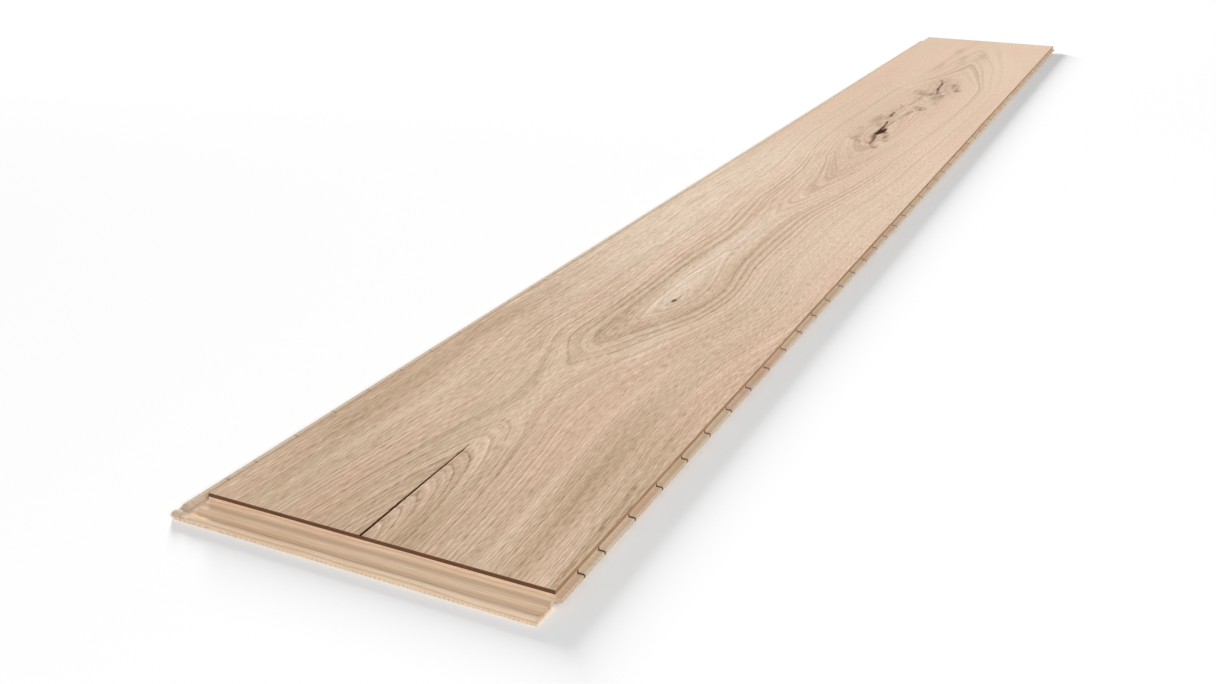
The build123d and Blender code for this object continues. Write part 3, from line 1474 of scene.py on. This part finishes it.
@dataclass
class OakStrip:
    """The oak top layer, with its bevelled edges and the relief of its splits.

    Attributes:
        low: Its lowest corner in metres.
        high: Its highest corner in metres.
        bevel: Width of the small bevel around the face, in metres.
        step: Distance between mesh lines over plain wood, in millimetres.
        least_step: The least distance between them.
        fine_across: Stretches with finer lines, as start, end and step.
        fine_along: The same along the board.
        patch_grid: How many random values the patches have on a side.
        shifts: How places are shifted to make marks ragged: twice aside and once
            ahead, each as shift, size across and size along, in millimetres.
        hollow: What closeness to a split is multiplied by and then lessened by, to
            give its hollow.
        stain_mean: Mean strength of the streaks in stains.
        stain_streaks: How it changes, as strength, size across and size along.
        sharp: Angle in degrees from which an edge shows as sharp.
    """

    low: Vector
    high: Vector
    bevel: float = 0.0005
    step: float = 9.0
    least_step: float = 0.3
    fine_across: Tuple[Triple, ...] = ((90.0, 174.0, 2.0), (110.0, 151.0, 0.9))
    fine_along: Tuple[Triple, ...] = ((0.0, 150.0, 3.0), (1140.0, 1730.0, 3.5))
    patch_grid: int = 61
    shifts: Tuple[Triple, ...] = ((2.4, 8.0, 30.0), (1.3, 3.2, 12.0), (9.0, 5.0, 40.0))
    hollow: Place = (2.5, 0.75)
    stain_mean: float = 0.75
    stain_streaks: Tuple[Triple, ...] = ((0.6, 3.0, 24.0), (0.35, 1.5, 9.0))
    sharp: float = 20.0

    def lines(self, length: float, fine: Sequence[Triple]) -> np.ndarray:
        """Place mesh lines closer together where the face has marks.

        Args:
            length: The side's length in millimetres.
            fine: Stretches with finer lines, as start, end and step.

        Returns:
            The lines' places in millimetres, from bevel to bevel.
        """
        bevel = self.bevel / MM
        spots = [bevel, length - bevel]
        spots += list(np.arange(self.step, length - bevel, self.step))
        for start, end, step in fine:
            spots = [s for s in spots if not start < s < end or s in (bevel, length - bevel)]
            spots += [s for s in np.arange(start, end, step) if bevel < s < length - bevel]
        kept: List[float] = []
        for spot in sorted(set(np.round(spots, 4))):
            if not kept or spot - kept[-1] > self.least_step:
                kept.append(float(spot))
        return np.array(kept)

    def patches(self, across: np.ndarray, along: np.ndarray, seed: int) -> np.ndarray:
        """Give smooth random values, one unit of length to a feature.

        Args:
            across: Places across the board, already scaled.
            along: Places along it, already scaled.
            seed: Start of the random values.

        Returns:
            Values from -1 to 1.
        """
        side = self.patch_grid
        draws = np.random.default_rng(seed).uniform(-1.0, 1.0, (side, side))
        i, j = np.floor(across).astype(int), np.floor(along).astype(int)
        u, v = smooth(across - i), smooth(along - j)
        i, j, next_i, next_j = i % side, j % side, (i + 1) % side, (j + 1) % side
        low = draws[i, j] * (1 - u) + draws[next_i, j] * u
        high = draws[i, next_j] * (1 - u) + draws[next_i, next_j] * u
        return low * (1 - v) + high * v

    def ragged(self, across: np.ndarray, along: np.ndarray) -> Tuple[np.ndarray, np.ndarray]:
        """Shift places at random, so that marks measured there come out ragged.

        Args:
            across: Millimetres from the left edge, one for each vertex.
            along: Millimetres from the near end.

        Returns:
            The shifted places.
        """
        coarse, fine, ahead = (
            shift * self.patches(across / wide, along / long, seed)
            for seed, (shift, wide, long) in enumerate(self.shifts, start=1)
        )
        return across + (coarse + fine), along + ahead

    def closeness(self, mark: Blemish, across: np.ndarray, along: np.ndarray) -> np.ndarray:
        """Tell how near each vertex is to the middle of a mark.

        Args:
            mark: The mark.
            across: Millimetres from the left edge, one for each vertex.
            along: Millimetres from the near end.

        Returns:
            Values from 1 on its middle line to 0 at twice its width.
        """
        best = np.zeros_like(across)
        steps = len(mark.path) - 1
        for i in range(steps):
            start, end = np.array(mark.path[i]), np.array(mark.path[i + 1])
            run = end - start
            gone = np.stack((across, along), -1) - start
            share = np.clip(gone @ run / (run @ run), 0, 1)
            aside = gone - share[:, None] * run
            away = np.hypot(aside[:, 0], aside[:, 1] / mark.stretch)
            wide = mark.width + (mark.end_width - mark.width) * (i + share) / steps
            best = np.maximum(best, np.clip(1 - away / (2 * wide), 0, 1))
        return best

    def relief(self, across: np.ndarray, along: np.ndarray) -> np.ndarray:
        """Work out how deep the splits and knots lie.

        Args:
            across: Millimetres from the left edge, one for each vertex.
            along: Millimetres from the near end.

        Returns:
            Depths in metres.
        """
        depth = np.zeros_like(across)
        steep, less = self.hollow
        for mark in (CRACK, *BLEMISHES):
            if not mark.depth:
                continue
            spots = (across, along) if mark is CRACK else self.ragged(across, along)
            sunk = np.clip(self.closeness(mark, *spots) * steep - less, 0, 1)
            depth = np.maximum(depth, sunk * mark.depth * MM)
        return depth

    def shades(self, across: np.ndarray, along: np.ndarray) -> np.ndarray:
        """Work out how strongly each kind of mark colours each vertex.

        Args:
            across: Millimetres from the left edge, one for each vertex.
            along: Millimetres from the near end.

        Returns:
            Stain, split and pale wood for each vertex, and a spare one.
        """
        stain, split, pale = (np.zeros_like(across) for _ in range(3))
        streaks = np.full_like(across, self.stain_mean)
        for seed, (gain, wide, long) in enumerate(self.stain_streaks, len(self.shifts) + 1):
            streaks += gain * self.patches(across / wide, along / long, seed)
        spots = self.ragged(across, along)
        for mark in BLEMISHES:
            near = self.closeness(mark, *spots)
            if mark.kind is Mark.SPLIT:
                split = np.maximum(split, near * (0.5 + 0.5 * mark.strength))
                continue
            soft = smooth(near) * mark.strength
            if mark.kind is Mark.STAIN:
                soft = np.clip(soft * streaks, 0, 1)
                stain = 1 - (1 - stain) * (1 - soft)
            else:
                pale = 1 - (1 - pale) * (1 - soft)
        return np.stack((stain, split, pale, np.ones_like(stain)), -1)

    def top(self) -> Tuple[np.ndarray, np.ndarray, np.ndarray]:
        """Lay out the upper surface as a grid, with the bevel and the hollows.

        Returns:
            The grid's places across and along in millimetres, and its heights in metres.
        """
        width = (self.high.x - self.low.x) / MM
        length = (self.high.y - self.low.y) / MM
        xs, ys = self.lines(width, self.fine_across), self.lines(length, self.fine_along)
        across = np.concatenate(([0.0], xs, [width]))
        along = np.concatenate(([0.0], ys, [length]))
        grid_x, grid_y = np.meshgrid(across, along)
        heights = np.full(grid_x.shape, self.high.z)
        heights -= self.relief(grid_x.ravel(), grid_y.ravel()).reshape(grid_x.shape)
        for edge in (np.s_[0, :], np.s_[-1, :], np.s_[:, 0], np.s_[:, -1]):
            heights[edge] = self.high.z - self.bevel
        return grid_x, grid_y, heights

    def skin(self, rows: int, columns: int) -> Tuple[List[Tuple[int, ...]], List[int]]:
        """Join the vertices of the upper surface into faces.

        Args:
            rows: How many of them lie along the board.
            columns: How many lie across it.

        Returns:
            The faces and the zone of each.
        """
        faces: List[Tuple[int, ...]] = []
        zones: List[int] = []
        for j in range(rows - 1):
            for i in range(columns - 1):
                k = j * columns + i
                faces.append((k, k + 1, k + columns + 1, k + columns))
                at_end, at_side = j in (0, rows - 2), i in (0, columns - 2)
                zones.append(Zone.END if at_end else Zone.SIDE if at_side else Zone.FACE)
        return faces, zones

    def build(self) -> bpy.types.Object:
        """Build the strip as one closed mesh.

        Returns:
            The mesh object, with its faces sorted into zones.
        """
        grid_x, grid_y, heights = self.top()
        rows, columns = grid_x.shape
        upper = np.stack((self.low.x + grid_x * MM, self.low.y + grid_y * MM, heights), -1)
        points = [tuple(p) for p in upper.reshape(-1, 3)]
        faces, zones = self.skin(rows, columns)
        rim = list(range(columns))
        rim += [j * columns + columns - 1 for j in range(1, rows)]
        rim += [(rows - 1) * columns + i for i in range(columns - 2, -1, -1)]
        rim += [j * columns for j in range(rows - 2, 0, -1)]
        base, count = len(points), len(rim)
        points += [(points[k][0], points[k][1], self.low.z) for k in rim]
        for i in range(count):
            j = (i + 1) % count
            faces.append((rim[i], base + i, base + j, rim[j]))
            at_end = abs(points[rim[i]][1] - points[rim[j]][1]) < 1e-9
            zones.append(Zone.END if at_end else Zone.SIDE)
        faces.append(tuple(base + i for i in range(count - 1, -1, -1)))
        zones.append(Zone.SIDE)
        mesh = bpy.data.meshes.new("oak_strip")
        mesh.from_pydata(points, [], faces)
        shades = np.zeros((len(points), 4))
        shades[:base] = self.shades(grid_x.ravel(), grid_y.ravel())
        stored = mesh.attributes.new(MARKS, "FLOAT_COLOR", "POINT")
        stored.data.foreach_set("color", shades.ravel())
        mesh.polygons.foreach_set("material_index", zones)
        mesh.polygons.foreach_set("use_smooth", [True] * len(faces))
        mesh.set_sharp_from_angle(angle=math.radians(self.sharp))
        mesh.validate()
        return added("oak_strip", mesh)

    def dress(self, piece: bpy.types.Object, finisher: Finisher, finish: OakFinish) -> None:
        """Give the strip its materials.

        Args:
            piece: The strip.
            finisher: Makes the materials.
            finish: The oak's colours.
        """
        piece.data.materials.append(finisher.oak_face(finish))
        piece.data.materials.append(finisher.oak_side("oak_long_edge", finish.side, finish))
        piece.data.materials.append(finisher.oak_side("oak_sealed_end", finish.end, finish))

    def fit(self, piece: bpy.types.Object) -> None:
        """Tie the strip to the board in place of its plain solid.

        Args:
            piece: The strip.
        """
        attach(piece, "root")
        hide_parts("oak_wear_layer")


@dataclass
class SlatCore:
    """The crosswise softwood slats between the oak and the back.

    Attributes:
        nodes: The slats' solids by name.
        seed: Start of the random tones.
    """

    nodes: Dict[str, bpy.types.Object]
    seed: int = 5

    def dress(self, finisher: Finisher, finish: SoftwoodFinish) -> None:
        """Give each slat its own rings and tone.

        Args:
            finisher: Makes the material.
            finish: The slats' colours.
        """
        material = finisher.softwood("core_softwood", finish, True)
        draws = np.random.default_rng(self.seed)
        for name in sorted(self.nodes):
            slat = self.nodes[name]
            slat.color = (*draws.uniform(0.0, 1.0, 3), 1.0)
            slat.data.materials.clear()
            slat.data.materials.append(material)


@dataclass
class BackVeneer:
    """The thin softwood sheet under the core.

    Attributes:
        node: Its solid.
        look: What sets its rings and makes it redder and duller, from 0 to 1, and
            full alpha.
    """

    node: bpy.types.Object
    look: Tuple[float, float, float, float] = (0.35, 0.3, 0.4, 1.0)

    def dress(self, finisher: Finisher, finish: SoftwoodFinish) -> None:
        """Give the veneer lengthwise grain.

        Args:
            finisher: Makes the material.
            finish: Its colours.
        """
        self.node.color = self.look
        self.node.data.materials.clear()
        self.node.data.materials.append(finisher.softwood("back_softwood", finish, False))


@dataclass(frozen=True)
class Lamp:
    """One large soft lamp, turned to the middle of the board.

    Attributes:
        name: Its name.
        place: Where it hangs, in metres.
        power: Its power in watts.
        size: Its side in metres.
    """

    name: str
    place: Triple
    power: float
    size: float

    def hang(self) -> None:
        """Add the lamp to the scene."""
        data = bpy.data.lights.new(self.name, "AREA")
        data.shape = "SQUARE"
        data.size = self.size
        data.energy = self.power
        lamp = added(self.name, data)
        lamp.location = self.place
        lamp.visible_glossy = False
        lamp.rotation_euler = (-Vector(self.place)).to_track_quat("-Z", "Y").to_euler()


@dataclass
class Studio:
    """The pale floor, the soft lamps and the camera.

    Attributes:
        floor_half: Half the floor's side in metres.
        floor_drop: How far the floor lies under the board, in metres.
        floor_tone: How much light the floor throws back.
        floor_glow: White added to the floor in the picture near the board.
        floor_fade: From where to where, in metres from the board's middle, that grows to
            full white.
        sky: Strength of the even light from all around.
        lamps: The low lamp that throws the long shade, and the front one.
        camera_place: Where the camera stands, in metres.
        camera_turn: How it is turned, in degrees.
        camera_reach: How far it sees, in metres.
        lens: Its focal length in millimetres.
        lens_frame: Width of the frame that the focal length is given for.
    """

    floor_half: float = 20.0
    floor_drop: float = 0.0002
    floor_tone: float = 0.98
    floor_glow: float = 0.045
    floor_fade: Place = (1.7, 4.0)
    sky: float = 0.285
    lamps: Tuple[Lamp, ...] = (
        Lamp("low_back_lamp", (-8.2, 8.6, 2.4), 2950.0, 2.4),
        Lamp("front_lamp", (4.9, -4.4, 3.8), 342.0, 2.6),
    )
    camera_place: Triple = (0.41322, -1.61942, 0.41209)
    camera_turn: Triple = (67.5931, -0.4926, 25.4381)
    camera_reach: float = 100.0
    lens: float = 36.7034
    lens_frame: float = 36.0

    def floor(self) -> None:
        """Lay the floor, white in the picture and still shaded by the board."""
        half, level = self.floor_half, -self.floor_drop
        mesh = bpy.data.meshes.new("studio_floor")
        square = ((-half, -half), (half, -half), (half, half), (-half, half))
        mesh.from_pydata([(x, y, level) for x, y in square], [], [(0, 1, 2, 3)])
        floor = added("studio_floor", mesh)
        material = bpy.data.materials.new("studio_floor")
        graph = emptied(material)
        paper = graph.add("ShaderNodeBsdfDiffuse")
        paper.inputs["Color"].default_value = (*[self.floor_tone] * 3, 1.0)
        glow = graph.add("ShaderNodeEmission")
        glow.inputs["Color"].default_value = WHITE
        away = graph.vector("LENGTH", graph.read("ShaderNodeTexCoord", "Object"))
        away = away.spread(*self.floor_fade, self.floor_glow, 1.0)
        graph.feed(glow.inputs["Strength"], graph.seen() * away)
        shaders = (Value(graph, node.outputs[0]) for node in (paper, glow))
        both = graph.fill(graph.add("ShaderNodeAddShader"), *shaders)
        output = graph.add("ShaderNodeOutputMaterial")
        graph.feed(output.inputs["Surface"], both)
        mesh.materials.append(material)

    def world(self) -> None:
        """Light the scene evenly and keep what lies behind it white."""
        world = bpy.data.worlds.new("studio_sky")
        bpy.context.scene.world = world
        graph = emptied(world)
        light = graph.add("ShaderNodeBackground")
        light.inputs["Color"].default_value = WHITE
        strength = graph.seen().times_plus(1.0 - self.sky, self.sky)
        graph.feed(light.inputs["Strength"], strength)
        output = graph.add("ShaderNodeOutputWorld")
        graph.feed(output.inputs["Surface"], Value(graph, light.outputs[0]))

    def camera(self) -> None:
        """Stand the camera where the photograph was taken."""
        data = bpy.data.cameras.new("photograph")
        data.sensor_width = self.lens_frame
        data.lens = self.lens
        data.clip_end = self.camera_reach
        camera = added("photograph", data)
        camera.location = self.camera_place
        camera.rotation_euler = [math.radians(a) for a in self.camera_turn]
        bpy.context.scene.camera = camera

    def build(self) -> None:
        """Set up everything around the board."""
        bpy.context.scene.view_settings.view_transform = "Standard"
        self.floor()
        self.world()
        for lamp in self.lamps:
            lamp.hang()
        self.camera()


def main() -> None:
    """Build the board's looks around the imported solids."""
    logging.basicConfig(level=logging.INFO, format="%(message)s")
    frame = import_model()
    oak_low, oak_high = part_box("oak_wear_layer")
    corner = Vector((oak_low.x, oak_low.y, oak_high.z))
    length, width = (oak_high.y - oak_low.y) / MM, (oak_high.x - oak_low.x) / MM
    effects = Effects(
        RingFigure(HeartFigure(), length, width), Streak(), Fibres(), ToneDrift(), SlatRings()
    )
    finisher = Finisher(effects, corner, length)

    studio = Studio()
    studio.build()
    LOG.info("studio: floor, sky, lamps and camera")

    strip = OakStrip(oak_low, oak_high)
    piece = strip.build()
    strip.dress(piece, finisher, OakFinish())
    strip.fit(piece)
    LOG.info("oak strip: %d faces", len(piece.data.polygons))

    slats = {n: o for n, o in frame["nodes"].items() if n.startswith("core_slat_")}
    SlatCore(slats).dress(finisher, SoftwoodFinish())
    LOG.info("core: %d slats", len(slats))

    BackVeneer(frame["nodes"]["back_veneer"]).dress(finisher, SoftwoodFinish())
    LOG.info("back veneer dressed")


if __name__ == "__main__":
    main()
